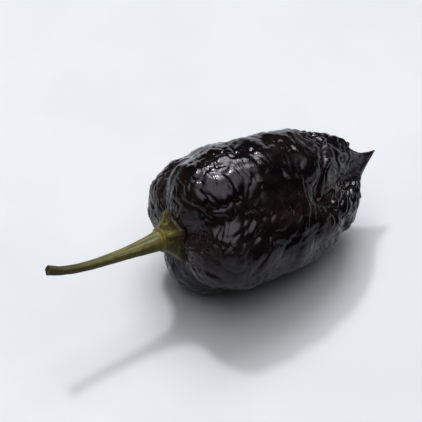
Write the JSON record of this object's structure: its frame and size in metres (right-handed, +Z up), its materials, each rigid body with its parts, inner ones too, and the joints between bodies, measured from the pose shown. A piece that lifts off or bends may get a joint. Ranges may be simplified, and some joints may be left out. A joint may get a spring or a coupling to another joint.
{
  "type": "chilli pepper",
  "caption": "Ripe black habanero chilli as picked, lying on its side: a glossy wrinkled pod with ribs and a pointed tail, a star-shaped green calyx and a curved stalk.",
  "frame": {"origin": "under the middle of the chilli, on the surface that it rests on", "axes": "+X along the pod towards its tail, with the stalk towards -X; +Z up as it lies"},
  "size_m": [0.0851, 0.035, 0.0346],
  "materials": {
    "pod": "glossy, very dark brown-black skin with a reddish cast, finely wrinkled",
    "calyx": "dull olive green with brown edges",
    "stem": "dull olive green, furrowed lengthwise, darker to the cut end"
  },
  "bodies": {
    "root": {"pod": "pod", "calyx": "calyx", "stem": "stem"}
  },
  "joints": []
}
